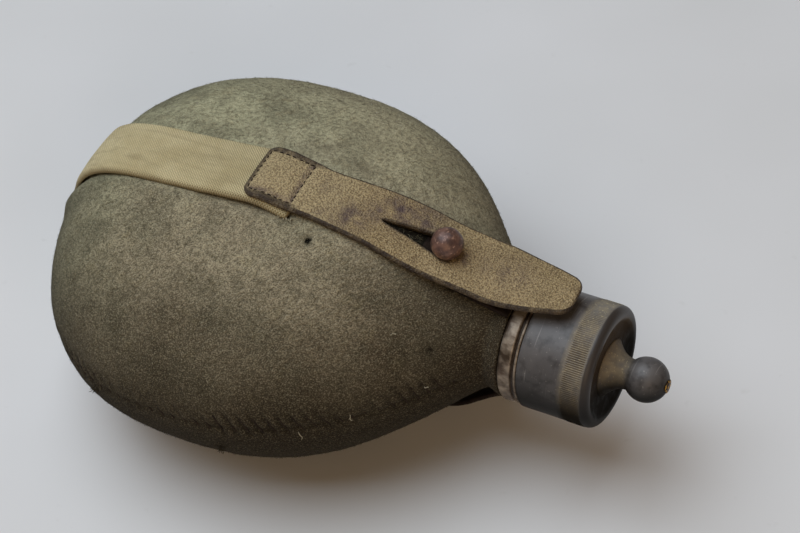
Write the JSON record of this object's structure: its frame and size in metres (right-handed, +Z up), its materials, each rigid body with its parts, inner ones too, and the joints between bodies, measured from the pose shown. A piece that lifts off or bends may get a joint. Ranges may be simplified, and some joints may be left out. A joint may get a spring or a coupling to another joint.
{
  "type": "field canteen",
  "caption": "Felt-covered metal drinking flask with a screw cap, lying on its back, held by a webbing strap whose slit leather tongue buttons over a ball stud.",
  "frame": {"origin": "middle of the part's box on the ground, under the flask lying on its back", "axes": "+X along the neck to the cap, +Z up through the tongue, Y across the flask along its felt seam"},
  "size_m": [0.217, 0.144, 0.0935],
  "materials": {
    "felt": "fuzzy grey-green wool felt, darker and browner below",
    "webbing": "pale khaki ribbed cotton webbing",
    "leather": "worn tan leather with dark edges and stains",
    "yoke_leather": "dark brown leather",
    "thread": "dark waxed thread",
    "flask_metal": "plain drawn aluminium",
    "collar_metal": "worn silver with brown dirt",
    "cap_metal": "dark grey satin, dusty in the knurl",
    "stud_metal": "reddish brown tarnish",
    "rivet_metal": "worn brass",
    "cork": "cork"
  },
  "bodies": {
    "flask": {"flask_shell": "flask_metal", "neck_collar": "collar_metal", "felt_front": "felt", "felt_back": "felt", "neck_yoke": "yoke_leather", "webbing_strap": "webbing", "tongue_root": "leather", "tongue_stitching": "thread", "yoke_stitching": "thread", "stud": "stud_metal", "stud_washer": "stud_metal"},
    "gasket": {"cap_gasket": "cork"},
    "cap": {"cap_shell": "cap_metal", "cap_knob": "cap_metal", "knob_rivet": "rivet_metal", "rivet_washer": "rivet_metal"},
    "tongue": {"tongue_flap": "leather"}
  },
  "joints": [
    {"name": "cap_lift", "type": "slide", "parent": "flask", "child": "gasket", "axis": [1, 0, 0], "range_m": [0, 0.02]},
    {"name": "cap_turn", "type": "hinge", "parent": "gasket", "child": "cap", "pos_m": [0.0748, 0, 0.0478], "axis": [1, 0, 0], "range_deg": [0, 1800]},
    {"name": "tongue_lift", "type": "hinge", "parent": "flask", "child": "tongue", "pos_m": [-0.01196, -0.00154, 0.0918], "axis": [0.0349, -0.9994, 0], "range_deg": [0, 120], "deforming": ["tongue_flap"]}
  ],
  "couplings": [
    {"joint": "cap_lift", "follows": "cap_turn", "m_per_rad": 0.00063662}
  ]
}
